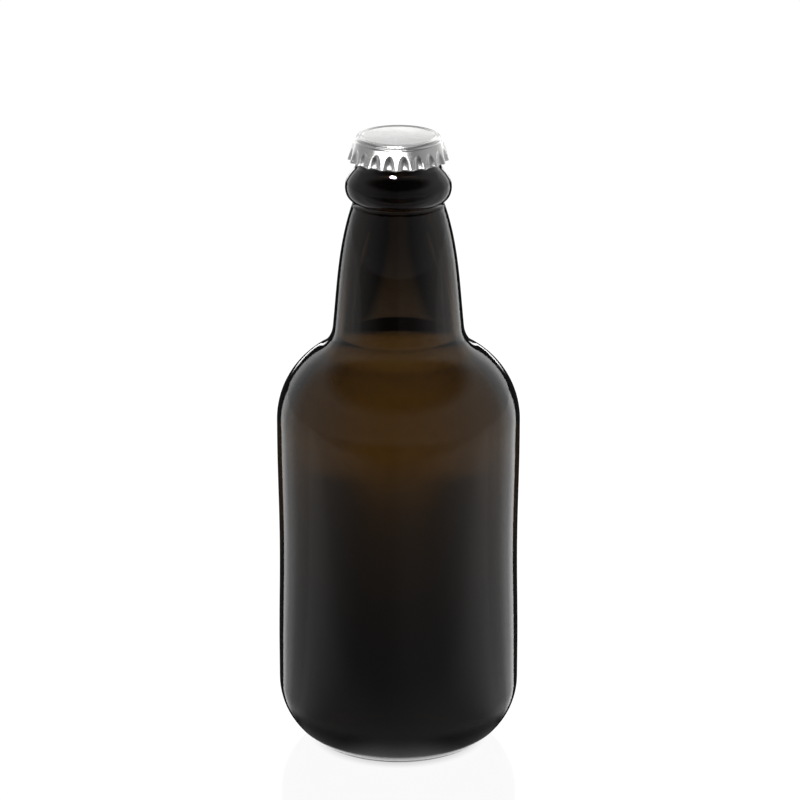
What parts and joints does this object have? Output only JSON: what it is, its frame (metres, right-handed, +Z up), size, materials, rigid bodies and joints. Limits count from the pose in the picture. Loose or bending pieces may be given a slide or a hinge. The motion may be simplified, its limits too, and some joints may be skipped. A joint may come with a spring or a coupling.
{
  "type": "crown-cap beer bottle",
  "caption": "Short round-shouldered amber glass bottle with a tapering neck and rounded collar, full of beer and shut by a crimped crown cap.",
  "frame": {"origin": "centre of the base, on the plane that the bottle stands on", "axes": "+Z up along the bottle's axis, -Y towards the side that the picture shows"},
  "size_m": [0.07, 0.07, 0.1824],
  "materials": {
    "amber_glass": "glossy dark amber glass",
    "beer": "clear amber drink",
    "bright_tinplate": "plain bright tinned sheet with a satin grain"
  },
  "bodies": {
    "root": {"bottle_glass": "amber_glass", "beer": "beer", "crown_cap": "bright_tinplate"}
  },
  "joints": []
}
